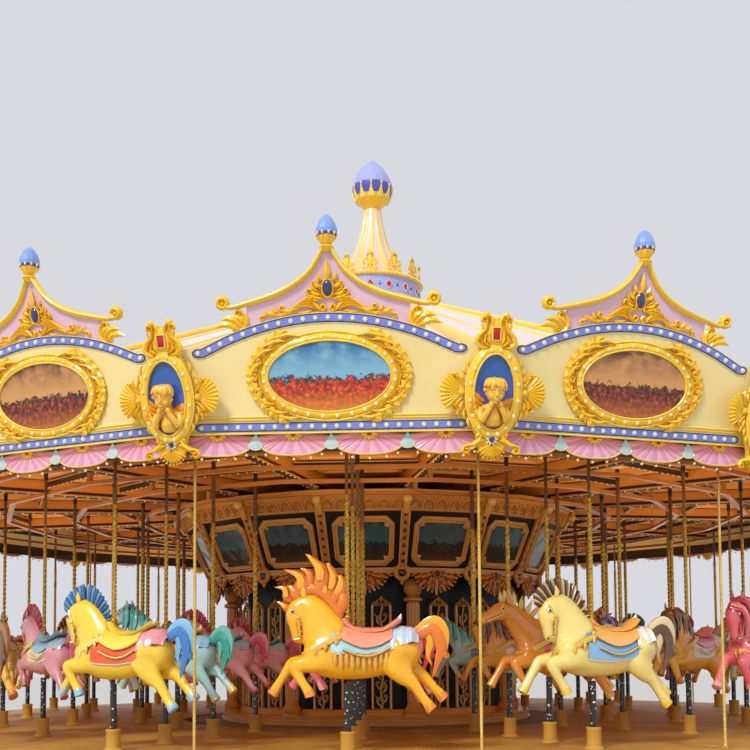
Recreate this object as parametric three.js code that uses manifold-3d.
// Fairground carousel with sixteen bays and sixty-four galloping horses.
// A fixed track, centre mast and columned centre house carry a turning platform, ceiling, drum,
// rounding boards and roof. Every horse rides a pole that slides through a ring beam and a floor socket.
// Units are millimetres, +Z is up, the origin is on the ground on the turning axis,
// and bay 0 faces -Y. Bays are counted anticlockwise as seen from above.

import * as THREE from 'three';
import { mergeVertices } from 'three/addons/utils/BufferGeometryUtils.js';
import Module from 'manifold-3d';

const wasm = await Module();
wasm.setup();

// Driving dimensions

const BAYS = 16;
const BOARD_RADIUS = 7000;
const BOARD_REFERENCE_Z = 3380;
const BOARD_LEAN = 0.245;
const BOARD_THICKNESS = 40;
const BOARD_BOTTOM_Z = 3340;
const SHOULDER_Z = 4000;
const ARCH_RISE = 270;
const ARCH_RADIUS = 2200;
const ARCH_END = 870;
const SHOULDER_START = 1090;
const RAIL_HALF_HEIGHT = 40;
const RAIL_DEPTH = 25;
const SEAT_GAP = 0.3;

const DECK_TOP_Z = 500;
const DECK_THICKNESS = 60;
const DECK_APOTHEM = 6800;
const DECK_INNER_RADIUS = 2750;
const RIM_THICKNESS = 40;
const RIM_BOTTOM_Z = 110;
const TRACK_RADII = [6320, 6540];
const CENTRE_BASE_RADIUS = 2700;

const ROW_RADII = [6050, 5200, 4310, 3400];
const HORSE_SCALES = [1, 0.88, 0.76, 0.66];
const HORSE_CENTRE_Z = 1350;
const HORSE_TURN = (0.65 * Math.PI) / 180;
const POLE_WIDTH = 44;
const POST_WIDTH = 64;
const POST_BOTTOM_Z = 300;
const POLE_TOP_Z = 3500;
const SOCKET_RADIUS = 62;
const SOCKET_BORE = 74;
const SOCKET_TOP_Z = 700;
const LIFT_BEAM_Z = [180, 280];
const LIFT_BEAM_WIDTH = 70;

const POLE_RING_Z = [3300, 3340];
const POLE_RING_WIDTH = 60;
const HANGER_WIDTH = 50;
const SWEEP_Z = [3440.3, 3660];
const SWEEP_WIDTH = 80;
const HUB_RADII = [300, 420];
const ROD_CIRCLE = 6550;
const ROD_RADIUS = 14;
const CEILING_THICKNESS = 20;

const MAST_RADIUS = 220;
const MAST_FOOT_RADIUS = 600;
const HOUSE_RADIUS = 1900;
const HOUSE_TOP_Z = 2750;
const COLUMN_COUNT = 8;
const COLUMN_CIRCLE = 2100;
const SCREEN_CIRCLE = 1990;
const HOUSE_TURN = (-5.9 * Math.PI) / 180;

const DRUM_BOTTOM = { z: 2440, apothem: 2330 };
const DRUM_TOP = { z: 3440, apothem: 2784 };
const DRUM_THICKNESS = 30;

const ROOF_TOP_APOTHEM = 690;
const ROOF_TOP_Z = 6600;
const ROOF_THICKNESS = 30;
const CROWN_RADIUS = 700;
const CROWN_TOP_Z = 6935;
const FLEUR_COUNT = 12;

// Derived values

const BAY_STEP = (2 * Math.PI) / BAYS;
const BAY_COS = Math.cos(BAY_STEP / 2);
const BAY_TAN = Math.tan(BAY_STEP / 2);
const BOARD_APOTHEM = BOARD_RADIUS * BAY_COS;
const BOARD_HALF_WIDTH = 1400;
const DRUM_LEAN = (DRUM_TOP.apothem - DRUM_BOTTOM.apothem) / (DRUM_TOP.z - DRUM_BOTTOM.z);

const boardApothem = (z) => BOARD_APOTHEM + (z - BOARD_REFERENCE_Z) * BOARD_LEAN;
const drumApothem = (z) => DRUM_BOTTOM.apothem + (z - DRUM_BOTTOM.z) * DRUM_LEAN;

// Height of the arched light rail's centre line at a distance across the bay.
function archZ(across) {
  const u = Math.abs(across);
  const arc = (x) => SHOULDER_Z + ARCH_RISE - (x * x) / (2 * ARCH_RADIUS);
  if (u <= ARCH_END) return arc(u);
  if (u >= SHOULDER_START) return SHOULDER_Z;
  const t = (SHOULDER_START - u) / (SHOULDER_START - ARCH_END);
  return SHOULDER_Z + (arc(ARCH_END) - SHOULDER_Z) * t * t;
}

// Geometry helpers

function indexedGeometry(points, triangles) {
  const geometry = new THREE.BufferGeometry();
  geometry.setAttribute('position', new THREE.Float32BufferAttribute(points, 3));
  geometry.setIndex(triangles);
  return geometry;
}

function toManifold(geometry) {
  const plain = geometry.clone();
  plain.deleteAttribute('normal');
  plain.deleteAttribute('uv');
  const merged = mergeVertices(plain, 1e-3);
  return new wasm.Manifold(new wasm.Mesh({
    numProp: 3,
    vertProperties: new Float32Array(merged.attributes.position.array),
    triVerts: new Uint32Array(merged.index.array),
  }));
}

function fromManifold(solid) {
  const mesh = solid.getMesh();
  return indexedGeometry(Array.from(mesh.vertProperties), Array.from(mesh.triVerts));
}

function joinAll(geometries) {
  return fromManifold(geometries.map(toManifold).reduce((sum, next) => sum.add(next)));
}

function cutAll(geometry, cutters) {
  return fromManifold(cutters.map(toManifold).reduce((rest, tool) => rest.subtract(tool), toManifold(geometry)));
}

function box(x0, x1, y0, y1, z0, z1) {
  const geometry = new THREE.BoxGeometry(x1 - x0, y1 - y0, z1 - z0);
  return geometry.translate((x0 + x1) / 2, (y0 + y1) / 2, (z0 + z1) / 2);
}

// Solid of revolution about Z from a list of [radius, height] points.
function turned(profile, sides) {
  const points = profile.map(([r, z]) => new THREE.Vector2(r, z));
  return new THREE.LatheGeometry(points, sides).rotateX(Math.PI / 2);
}

// Upright plate: an outline of [across, height] points on a plane that leans outwards,
// with its back face at the given apothem where the height is zero.
function leaningPlate(outline, apothem, lean, thickness) {
  const shape = new THREE.Shape(outline.map(([u, v]) => new THREE.Vector2(u, v)));
  const geometry = new THREE.ExtrudeGeometry(shape, { depth: thickness, bevelEnabled: false });
  const across = new THREE.Vector3(1, 0, 0);
  const up = new THREE.Vector3(0, -lean, 1);
  const out = new THREE.Vector3(0, -1, -lean).normalize();
  const placing = new THREE.Matrix4().makeBasis(across, up, out).setPosition(0, -apothem, 0);
  return geometry.applyMatrix4(placing);
}

function mirrored(half) {
  const left = half.filter(([u]) => u > 0).map(([u, v]) => [-u, v]).reverse();
  return [...half, ...left];
}

// Closed ring of flat-sided bays. sectionAt(fraction) gives [apothem, height] points, listed up the
// outer face first, for a place between one corner (-1) and the next (1).
function bayRing(fractions, sectionAt) {
  const columns = [];
  for (let bay = 0; bay < BAYS; bay += 1) {
    for (const fraction of fractions) {
      const angle = bay * BAY_STEP;
      columns.push(sectionAt(fraction).map(([a, z]) => {
        const x = fraction * a * BAY_TAN;
        return [x * Math.cos(angle) + a * Math.sin(angle), x * Math.sin(angle) - a * Math.cos(angle), z];
      }));
    }
  }
  const count = columns[0].length;
  const triangles = [];
  columns.forEach((column, c) => {
    const next = (c + 1) % columns.length;
    column.forEach((point, j) => {
      const k = (j + 1) % count;
      const corners = [c * count + j, next * count + j, next * count + k, c * count + k];
      triangles.push(corners[0], corners[1], corners[2], corners[0], corners[2], corners[3]);
    });
  });
  return indexedGeometry(columns.flat(2), triangles);
}

const plainRing = (section) => bayRing([-1], () => section);

const rectangle = (inner, outer, bottom, top) => [[outer, bottom], [outer, top], [inner, top], [inner, bottom]];

const turnedTo = (geometry, angle) => geometry.clone().rotateZ(angle);

const aroundBays = (geometry, offset = 0) => (
  Array.from({ length: BAYS }, (unused, bay) => turnedTo(geometry, (bay + offset) * BAY_STEP))
);

// Materials

const paint = (color, roughness = 0.45, metalness = 0) => (
  new THREE.MeshStandardMaterial({ color, roughness, metalness })
);

const GOLD = paint('#e6b325', 0.35);
const CREAM = paint('#e9d59a');
const PINK = paint('#d9b3cc');
const BLUE = paint('#6f7fd0');
const NAVY = paint('#0d2438', 0.6);
const TAN = paint('#b8853f', 0.55);
const BROWN = paint('#a5642a', 0.6);
const IRON = paint('#23272b', 0.5, 0.6);
const DECK_PAINT = paint('#c9962f', 0.6);
const CONCRETE = paint('#8d8a84', 0.8);

// Fixed base

function trackRing() {
  const [inner, outer] = TRACK_RADII;
  const top = DECK_TOP_Z - DECK_THICKNESS - SEAT_GAP;
  return turned([[inner, 0], [outer, 0], [outer, top], [inner, top], [inner, 0]], 24);
}

function centreBase() {
  const inner = MAST_RADIUS + SEAT_GAP;
  const wall = 80;
  const floor = 40;
  return turned([
    [inner, DECK_TOP_Z - floor], [CENTRE_BASE_RADIUS - wall, DECK_TOP_Z - floor],
    [CENTRE_BASE_RADIUS - wall, 0], [CENTRE_BASE_RADIUS, 0], [CENTRE_BASE_RADIUS, DECK_TOP_Z],
    [inner, DECK_TOP_Z], [inner, DECK_TOP_Z - floor],
  ], 16);
}

function centreMast() {
  const flange = 40;
  const bearing = 400;
  const seat = SWEEP_Z[0] - SEAT_GAP;
  return turned([
    [0, 0], [MAST_FOOT_RADIUS, 0], [MAST_FOOT_RADIUS, flange], [MAST_RADIUS, flange],
    [MAST_RADIUS, seat - flange], [bearing, seat - flange], [bearing, seat],
    [MAST_RADIUS, seat], [MAST_RADIUS, SWEEP_Z[1]], [0, SWEEP_Z[1]],
  ], 8);
}

function houseWall() {
  const thickness = 40;
  const bottom = DECK_TOP_Z + SEAT_GAP;
  const inner = HOUSE_RADIUS - thickness;
  return turned([
    [inner, bottom], [HOUSE_RADIUS, bottom], [HOUSE_RADIUS, HOUSE_TOP_Z], [inner, HOUSE_TOP_Z], [inner, bottom],
  ], 16);
}

function houseColumns() {
  const bottom = DECK_TOP_Z + SEAT_GAP;
  const plinth = turned([[2020, bottom], [2230, bottom], [2230, 620], [2020, 620], [2020, bottom]], 16);
  const column = turned([[0, 610], [80, 610], [80, 2110], [120, 2140], [80, 2175], [115, 2260], [75, 2385], [0, 2385]], 6);
  column.translate(0, -COLUMN_CIRCLE, 0);
  const angles = Array.from({ length: COLUMN_COUNT }, (unused, i) => ((i + 0.5) * 2 * Math.PI) / COLUMN_COUNT);
  return turnedTo(joinAll([plinth, ...angles.map((angle) => turnedTo(column, angle))]), HOUSE_TURN);
}

// Three arched screens stand between each two columns, on one skirting.
function latticeScreens() {
  const bottom = DECK_TOP_Z + SEAT_GAP;
  const skirting = turned([[1960, bottom], [2015, bottom], [2015, 700], [1960, 700], [1960, bottom]], 16);
  const outline = mirrored([[130, 650], [100, 2180]]);
  const panel = leaningPlate(outline, SCREEN_CIRCLE - 20, 0, 30);
  const panels = [];
  for (let i = 0; i < COLUMN_COUNT * 4; i += 1) {
    if (i % 4 !== 2) panels.push(turnedTo(panel, (i * 2 * Math.PI) / (COLUMN_COUNT * 4)));
  }
  return turnedTo(joinAll([skirting, ...panels]), HOUSE_TURN);
}

// Turning platform

function platformHalf(half) {
  const seam = (SEAT_GAP / 2) / DECK_INNER_RADIUS;
  const start = -BAY_STEP / 2;
  const edge = (radius) => Array.from({ length: BAYS / 2 + 1 }, (unused, i) => {
    const inset = i === 0 ? seam : (i === BAYS / 2 ? -seam : 0);
    const angle = start + i * BAY_STEP + inset;
    return [radius * Math.sin(angle), -radius * Math.cos(angle)];
  });
  const outline = [...edge(DECK_APOTHEM / BAY_COS), ...edge(DECK_INNER_RADIUS / BAY_COS).reverse()];
  const shape = new THREE.Shape(outline.map(([x, y]) => new THREE.Vector2(x, y)));
  const plate = new THREE.ExtrudeGeometry(shape, { depth: DECK_THICKNESS, bevelEnabled: false });
  plate.translate(0, 0, DECK_TOP_Z - DECK_THICKNESS);
  const sockets = [];
  const bores = [];
  for (let bay = 0; bay < BAYS / 2; bay += 1) {
    for (const radius of ROW_RADII) {
      const socket = new THREE.CylinderGeometry(SOCKET_RADIUS, SOCKET_RADIUS, SOCKET_TOP_Z - DECK_TOP_Z + 30, 6);
      socket.rotateX(Math.PI / 2);
      socket.translate(0, -radius, (SOCKET_TOP_Z + DECK_TOP_Z - 30) / 2);
      const reach = SOCKET_BORE / 2;
      const bore = box(-reach, reach, -radius - reach, -radius + reach, 300, 900);
      sockets.push(turnedTo(socket, bay * BAY_STEP));
      bores.push(turnedTo(bore, bay * BAY_STEP));
    }
  }
  return turnedTo(cutAll(joinAll([plate, ...sockets]), bores), half * Math.PI + HORSE_TURN);
}

function platformRim() {
  const inner = DECK_APOTHEM + SEAT_GAP;
  return turnedTo(plainRing(rectangle(inner, inner + RIM_THICKNESS, RIM_BOTTOM_Z, DECK_TOP_Z)), HORSE_TURN);
}

// Ceiling frame

// The poles slide along the outer face of each ring beam, which hangs on a block under every second sweep.
function poleRing(radius) {
  const outer = radius - POLE_WIDTH / 2 - SEAT_GAP;
  const ring = turnedTo(plainRing(rectangle(outer - POLE_RING_WIDTH, outer, ...POLE_RING_Z)), HORSE_TURN);
  const middle = (outer - POLE_RING_WIDTH / 2) / Math.cos(BAY_STEP / 2 - HORSE_TURN);
  const half = HANGER_WIDTH / 2;
  const hanger = box(-half, half, -middle - half, -middle + half, POLE_RING_Z[1] - 10, SWEEP_Z[0] - SEAT_GAP);
  return joinAll([ring, ...aroundBays(hanger, 0.5).filter((unused, bay) => bay % 2 === 0)]);
}

// Round rods at the corners hang from the sweeps down to the platform.
function sweepFrame() {
  const outer = (boardApothem(SWEEP_Z[0]) - BOARD_THICKNESS) / BAY_COS - (SWEEP_WIDTH / 2) * BAY_TAN - 1;
  const sweep = box(-SWEEP_WIDTH / 2, SWEEP_WIDTH / 2, -outer, -HUB_RADII[1] + 40, ...SWEEP_Z);
  const hub = plainRing(rectangle(...HUB_RADII, ...SWEEP_Z));
  const bottom = DECK_TOP_Z + SEAT_GAP;
  const top = SWEEP_Z[0] + 20;
  const rod = new THREE.CylinderGeometry(ROD_RADIUS, ROD_RADIUS, top - bottom, 6);
  rod.rotateX(Math.PI / 2);
  rod.translate(0, -ROD_CIRCLE, (top + bottom) / 2);
  return joinAll([hub, ...aroundBays(sweep, 0.5), ...aroundBays(rod, 0.5)]);
}

function ceilingPanels() {
  const bottom = SWEEP_Z[1] + SEAT_GAP;
  const outer = boardApothem(bottom) - BOARD_THICKNESS - 60;
  return plainRing(rectangle(HUB_RADII[1], outer, bottom, bottom + CEILING_THICKNESS));
}

// Drum over the centre house

function drumWall() {
  const front = drumApothem(DRUM_BOTTOM.z);
  const top = DRUM_TOP.z - 5;
  return plainRing([
    [front, DRUM_BOTTOM.z], [drumApothem(top), top],
    [drumApothem(top) - DRUM_THICKNESS, top], [front - DRUM_THICKNESS, DRUM_BOTTOM.z],
  ]);
}

// The cornice carries a pilaster at each corner.
function drumCornice() {
  const bottom = 3190;
  const top = DRUM_TOP.z;
  const clear = 1;
  const cornice = plainRing([
    [drumApothem(bottom) + 40, bottom], [drumApothem(top) + 70, top],
    [drumApothem(top) + clear, top], [drumApothem(bottom) + clear, bottom],
  ]);
  const cornerLean = DRUM_LEAN / BAY_COS;
  const cornerRadius = drumApothem(0) / BAY_COS;
  const pilaster = leaningPlate(
    [[-50, 2520], [50, 2520], [60, 3230], [-60, 3230]], cornerRadius + clear, cornerLean, 35,
  );
  return joinAll([cornice, ...aroundBays(pilaster, 0.5)]);
}

// A bottom rail drops into a fan-shaped swag on each side and a boss at each corner.
function drumSwags() {
  const top = 2500;
  const bottoms = new Map([[-1, 2350], [-0.85, 2440], [-0.6, 2440], [-0.25, 2200], [0.25, 2200], [0.6, 2440], [0.85, 2440]]);
  return bayRing([...bottoms.keys()], (fraction) => {
    const outer = drumApothem(top) + (fraction === -1 ? 70 : 40);
    return [[outer, bottoms.get(fraction)], [outer, top], [drumApothem(top) + 1, top]];
  });
}

// Rounding boards

const archFractions = [0, 450, ARCH_END, SHOULDER_START, BOARD_HALF_WIDTH].map((u) => u / BOARD_HALF_WIDTH);
const PEDIMENT_BACK = BOARD_THICKNESS + SEAT_GAP + 45;
const boardFractions = [...archFractions.slice(1).reverse().map((s) => -s), ...archFractions.slice(0, -1)];

function roundingBoards() {
  const boards = bayRing(boardFractions, (fraction) => {
    const top = archZ(fraction * BOARD_HALF_WIDTH) + RAIL_HALF_HEIGHT;
    return [
      [boardApothem(BOARD_BOTTOM_Z), BOARD_BOTTOM_Z], [boardApothem(top), top],
      [boardApothem(top) - BOARD_THICKNESS, top], [boardApothem(BOARD_BOTTOM_Z) - BOARD_THICKNESS, BOARD_BOTTOM_Z],
    ];
  });
  const oval = Array.from({ length: 8 }, (unused, i) => {
    const angle = ((i + 0.5) * 2 * Math.PI) / 8;
    return [760 * Math.cos(angle), 3800 + 400 * Math.sin(angle)];
  });
  const frame = leaningPlate(oval, boardApothem(0) - 20, BOARD_LEAN, 80);
  return joinAll([boards, ...aroundBays(frame)]);
}

function upperLightRail() {
  return bayRing(boardFractions, (fraction) => {
    const z = archZ(fraction * BOARD_HALF_WIDTH);
    const bottom = z - RAIL_HALF_HEIGHT;
    const top = z + RAIL_HALF_HEIGHT;
    return [
      [boardApothem(z) + RAIL_DEPTH, z], [boardApothem(top) + SEAT_GAP, top], [boardApothem(bottom) + SEAT_GAP, bottom],
    ];
  });
}

function lowerLightRail() {
  const bottom = BOARD_REFERENCE_Z - RAIL_HALF_HEIGHT;
  const top = BOARD_REFERENCE_Z + RAIL_HALF_HEIGHT;
  return plainRing([
    [boardApothem(bottom) + RAIL_DEPTH, bottom], [boardApothem(top) + RAIL_DEPTH, top],
    [boardApothem(top) + SEAT_GAP, top], [boardApothem(bottom) + SEAT_GAP, bottom],
  ]);
}

// One pediment over each arch, on a backing band behind the boards.
function pediments() {
  const back = PEDIMENT_BACK;
  const outline = mirrored([
    [690, 3900], [690, 4340], [905, 4345], [880, 4420], [530, 4470], [245, 4600], [110, 4740], [35, 4850],
  ]);
  const panel = leaningPlate(outline, boardApothem(0) - back, BOARD_LEAN, 43);
  const bulb = turned([[0, 4800], [92, 4960], [0, 5080]], 5);
  bulb.translate(0, -boardApothem(4960) + 60, 0);
  const band = plainRing([
    [boardApothem(3880) - back + 38, 3880], [boardApothem(3980) - back + 38, 3980],
    [boardApothem(3980) - back + 8, 3980], [boardApothem(3880) - back + 8, 3880],
  ]);
  return joinAll([band, ...aroundBays(panel), ...aroundBays(bulb)]);
}

// Sixteen gilt shields cover the corners; a moulding under the boards joins them.
function cornerShields() {
  const moulding = plainRing([
    [boardApothem(3300) + 40, 3300], [boardApothem(3300) + 48, 3340 - SEAT_GAP],
    [boardApothem(3300) - 50, 3340 - SEAT_GAP], [boardApothem(3300) - 50, 3300],
  ]);
  const outline = mirrored([
    [90, 3075], [250, 3150], [175, 3330], [250, 3500], [455, 3610], [440, 3760], [255, 3880],
    [215, 4060], [115, 4160], [115, 4305],
  ]);
  const lean = BOARD_LEAN / BAY_COS;
  const shield = leaningPlate(outline, boardApothem(0) / BAY_COS + RAIL_DEPTH / BAY_COS + 3, lean, 80);
  return joinAll([moulding, ...aroundBays(shield, 0.5)]);
}

function valance() {
  const top = 3300 - SEAT_GAP;
  const bottom = 3140;
  const outer = boardApothem(3300) - 35;
  return plainRing(rectangle(outer - 10, outer, bottom, top));
}

// Roof and crown

const roofOuter = boardApothem(SHOULDER_Z - ROOF_THICKNESS) - PEDIMENT_BACK - SEAT_GAP;

// Tapering hip rolls stand along the roof's corners.
function roofTilt() {
  const rib = 0.03;
  return bayRing([-1, -1 + rib, 1 - rib], (fraction) => {
    const rise = fraction === -1 ? 45 : 0;
    return [
      [roofOuter, SHOULDER_Z - ROOF_THICKNESS], [roofOuter, SHOULDER_Z + rise],
      [ROOF_TOP_APOTHEM, ROOF_TOP_Z], [ROOF_TOP_APOTHEM, ROOF_TOP_Z - ROOF_THICKNESS],
    ];
  });
}

function crown() {
  const bottom = ROOF_TOP_Z + SEAT_GAP;
  const inner = CROWN_RADIUS - 60;
  const band = turned([
    [0, CROWN_TOP_Z - 40], [inner, CROWN_TOP_Z - 40], [inner, bottom], [CROWN_RADIUS, bottom],
    [CROWN_RADIUS, CROWN_TOP_Z - 60], [CROWN_RADIUS + 40, CROWN_TOP_Z - 30], [CROWN_RADIUS + 40, CROWN_TOP_Z],
    [0, CROWN_TOP_Z],
  ], 24);
  const outline = mirrored([[60, CROWN_TOP_Z - 10], [110, 7060], [50, 7110], [0, 7270]]);
  const fleur = leaningPlate(outline, CROWN_RADIUS - 10, 0, 20);
  const fleurs = Array.from({ length: FLEUR_COUNT }, (unused, i) => turnedTo(fleur, (i * 2 * Math.PI) / FLEUR_COUNT));
  return joinAll([band, ...fleurs]);
}

function spire() {
  const bottom = CROWN_TOP_Z + SEAT_GAP;
  return turned([
    [0, bottom], [560, bottom], [470, 7080], [380, 7260], [240, 7560], [160, 7850], [120, 8119.7], [0, 8119.7],
  ], 16);
}

function spireFinial() {
  return turned([
    [0, 8120], [130, 8120], [180, 8190], [285, 8290], [310, 8400], [310, 8480], [265, 8610], [140, 8760], [0, 8890],
  ], 16);
}

// Horses

// Side outline of a horse that faces -X, as [x, z, half thickness] in metres at full size.
// The pole passes through the withers at x = 0.
const HORSE_BEFORE_POST = [
  [-0.05, 2.08, 0.03], [-0.20, 2.30, 0.03], [-0.38, 2.35, 0.03], [-0.65, 1.99, 0.03], [-0.53, 1.78, 0.08],
  [-0.46, 1.49, 0.06], [-0.42, 1.40, 0.12], [-0.49, 1.36, 0.06], [-0.68, 1.08, 0.05], [-0.64, 1.03, 0.05],
  [-0.42, 1.27, 0.06], [-0.34, 1.02, 0.05], [-0.24, 1.16, 0.14],
];
const HORSE_AFTER_POST = [
  [0.35, 1.13, 0.16], [0.52, 1.18, 0.10], [0.76, 0.89, 0.05], [0.70, 1.17, 0.06], [0.89, 1.00, 0.05],
  [0.70, 1.32, 0.12], [0.83, 1.20, 0.03], [0.93, 1.38, 0.03], [0.89, 1.62, 0.03], [0.62, 1.63, 0.12],
  [0.42, 1.68, 0.10], [0.25, 1.57, 0.15],
];
// The small innermost horses leave out these points.
const LEFT_OUT_BEFORE = [4, 7, 9];
const LEFT_OUT_AFTER = [1, 6, 10];
const WITHERS_Z = 1.72;
const BELLY_Z = 1.13;

function horseSolid(scale, simple) {
  const kept = (points, leftOut) => points.filter((unused, i) => !simple || !leftOut.includes(i));
  const place = ([x, z, t]) => [x * 1000 * scale, HORSE_CENTRE_Z + (z * 1000 - HORSE_CENTRE_Z) * scale, t * 1000 * scale];
  const pole = POLE_WIDTH / 2;
  const post = POST_WIDTH / 2;
  const withers = place([0, WITHERS_Z, 0])[1];
  const belly = place([0, BELLY_Z, 0])[1];
  const outline = [
    [-pole, POLE_TOP_Z, pole], [-pole, withers, pole], ...kept(HORSE_BEFORE_POST, LEFT_OUT_BEFORE).map(place),
    [-post, belly, post], [-post, POST_BOTTOM_Z, post], [post, POST_BOTTOM_Z, post], [post, belly, post],
    ...kept(HORSE_AFTER_POST, LEFT_OUT_AFTER).map(place), [pole, withers, pole], [pole, POLE_TOP_Z, pole],
  ];
  const faces = THREE.ShapeUtils.triangulateShape(outline.map(([x, z]) => new THREE.Vector2(x, z)), []);
  const count = outline.length;
  const points = [];
  for (const side of [-1, 1]) {
    for (const [x, z, t] of outline) points.push(x, side * t, z);
  }
  const triangles = [];
  for (const [a, b, c] of faces) {
    triangles.push(a, b, c, c + count, b + count, a + count);
  }
  for (let i = 0; i < count; i += 1) {
    const j = (i + 1) % count;
    triangles.push(j, i, i + count, j, i + count, j + count);
  }
  return indexedGeometry(points, triangles);
}

const horseInRow = (row) => horseSolid(HORSE_SCALES[row], row === 3).translate(0, -ROW_RADII[row], 0);

// The three inner horses of a bay share a lifting beam under the deck.
function innerHorses() {
  const rows = [1, 2, 3];
  const half = LIFT_BEAM_WIDTH / 2;
  const beam = box(-half, half, -ROW_RADII[1] - 60, -ROW_RADII[3] + 60, ...LIFT_BEAM_Z);
  const stub = (row) => box(-25, 25, -ROW_RADII[row] - 25, -ROW_RADII[row] + 25, LIFT_BEAM_Z[0] + 20, POST_BOTTOM_Z + 20);
  return joinAll([beam, ...rows.map(horseInRow), ...rows.map(stub)]);
}

// Assembly

const carousel = new THREE.Group();

function place(parent, name, geometry, material, angle = 0) {
  const mesh = new THREE.Mesh(geometry, material);
  mesh.name = name;
  mesh.rotation.z = angle;
  parent.add(mesh);
}

const base = new THREE.Group();
carousel.add(base);
place(base, 'track_ring', trackRing(), IRON);
place(base, 'centre_base', centreBase(), CONCRETE);
place(base, 'centre_mast', centreMast(), IRON);
place(base, 'house_wall', houseWall(), NAVY);
place(base, 'house_columns', houseColumns(), TAN);
place(base, 'lattice_screens', latticeScreens(), GOLD);

const turningFrame = new THREE.Group();
carousel.add(turningFrame);
place(turningFrame, 'platform_front', platformHalf(0), DECK_PAINT);
place(turningFrame, 'platform_back', platformHalf(1), DECK_PAINT);
place(turningFrame, 'platform_rim', platformRim(), CREAM);
place(turningFrame, 'outer_pole_ring', poleRing(ROW_RADII[0]), NAVY);
place(turningFrame, 'middle_pole_ring', poleRing(ROW_RADII[1]), NAVY);
place(turningFrame, 'inner_pole_ring', poleRing(ROW_RADII[2]), NAVY);
place(turningFrame, 'drum_pole_ring', poleRing(ROW_RADII[3]), NAVY);
place(turningFrame, 'sweep_frame', sweepFrame(), NAVY);
place(turningFrame, 'ceiling_panels', ceilingPanels(), BROWN);
place(turningFrame, 'drum_wall', drumWall(), NAVY);
place(turningFrame, 'drum_cornice', drumCornice(), TAN);
place(turningFrame, 'drum_swags', drumSwags(), TAN);
place(turningFrame, 'rounding_boards', roundingBoards(), CREAM);
place(turningFrame, 'upper_light_rail', upperLightRail(), BLUE);
place(turningFrame, 'lower_light_rail', lowerLightRail(), BLUE);
place(turningFrame, 'pediments', pediments(), PINK);
place(turningFrame, 'corner_shields', cornerShields(), GOLD);
place(turningFrame, 'valance', valance(), PINK);
place(turningFrame, 'roof_tilt', roofTilt(), CREAM);
place(turningFrame, 'crown', crown(), GOLD);
place(turningFrame, 'spire', spire(), PINK);
place(turningFrame, 'spire_finial', spireFinial(), BLUE);

const horses = new THREE.Group();
turningFrame.add(horses);
const outerHorse = horseInRow(0);
const innerThree = innerHorses();
const twoDigits = (number) => String(number).padStart(2, '0');
for (let bay = 0; bay < BAYS; bay += 1) {
  place(horses, `outer_horse_${twoDigits(bay)}`, outerHorse, GOLD, bay * BAY_STEP + HORSE_TURN);
  place(horses, `inner_horses_${twoDigits(bay)}`, innerThree, CREAM, bay * BAY_STEP + HORSE_TURN);
}

export default carousel;
